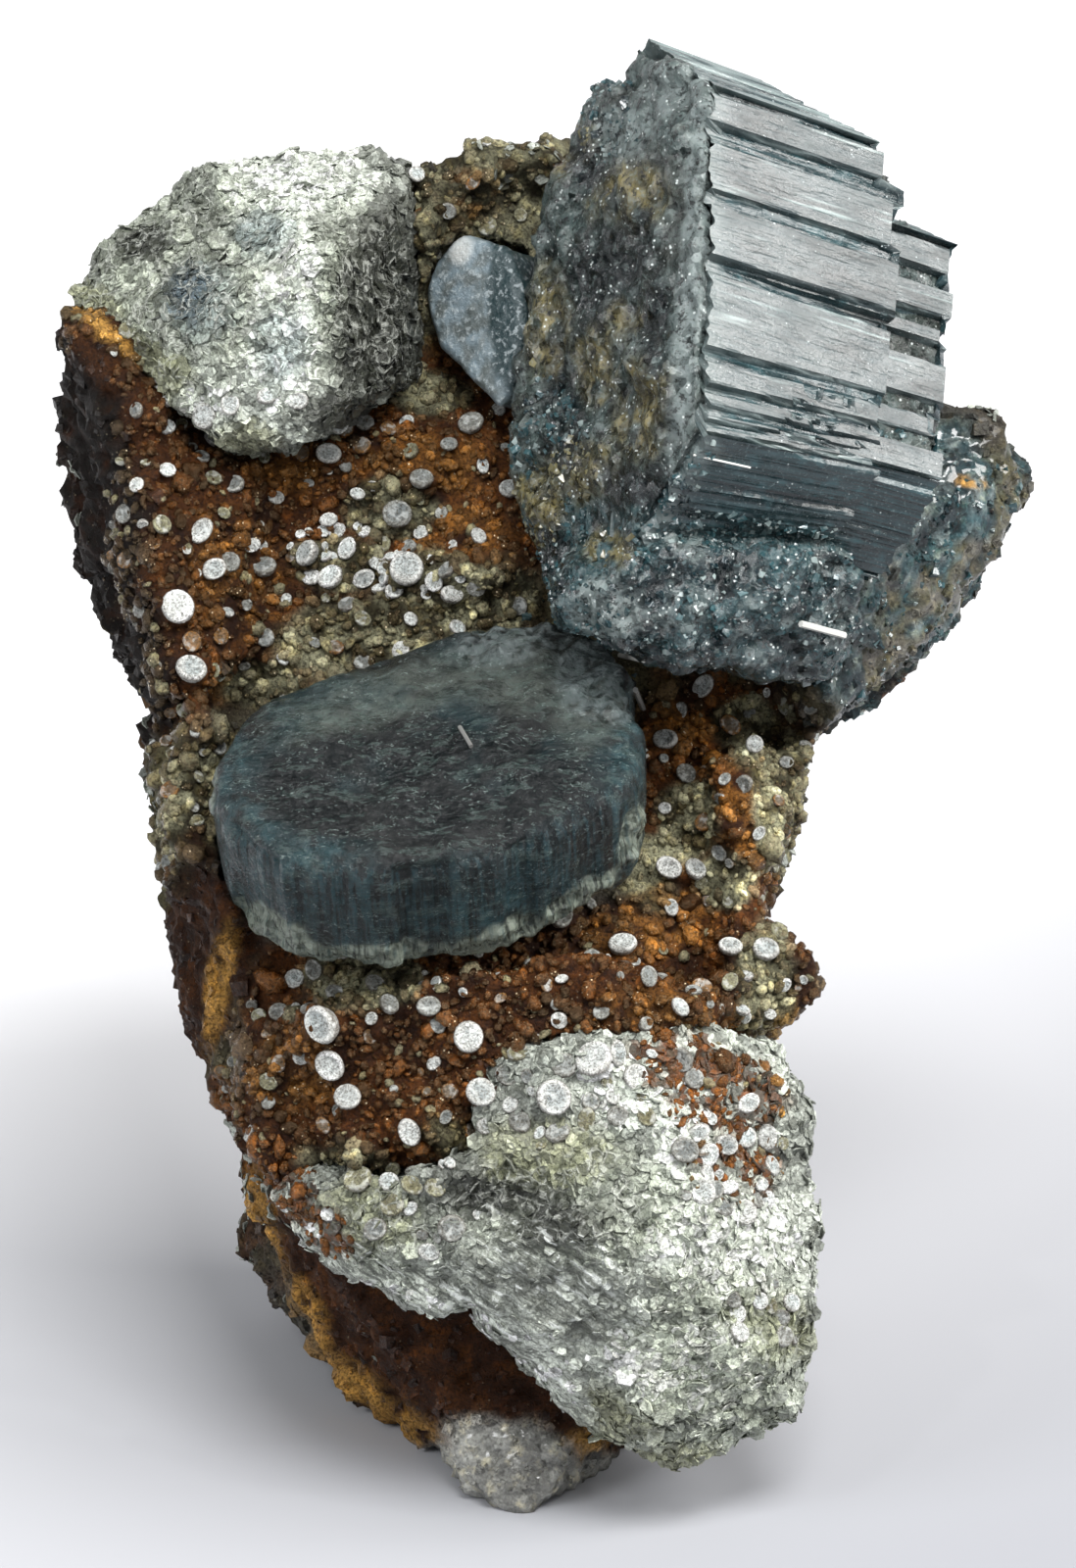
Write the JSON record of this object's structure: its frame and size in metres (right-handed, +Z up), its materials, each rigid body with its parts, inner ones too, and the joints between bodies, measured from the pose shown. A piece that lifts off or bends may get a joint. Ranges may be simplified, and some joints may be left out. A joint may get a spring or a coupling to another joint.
{
  "type": "fluorapatite specimen",
  "caption": "Mineral specimen that stands on its broken base: stout blue hexagonal fluorapatite crystals on rusty rock with silvery muscovite.",
  "frame": {"origin": "middle of the flat broken base that the specimen stands on", "axes": "+Z up, the specimen's longest extent; the crystal face looks along -Y and leans back; +X to the right seen from the front"},
  "size_m": [0.064, 0.0545, 0.0912],
  "materials": {
    "matrix": "rusty brown, rough",
    "muscovite": "silvery grey, pearly",
    "apatite": "grey blue, glassy"
  },
  "bodies": {
    "root": {"matrix": "matrix", "upper_mica": "muscovite", "lower_mica": "muscovite", "large_apatite": "apatite", "middle_apatite": "apatite", "small_apatite": "apatite"}
  },
  "joints": []
}
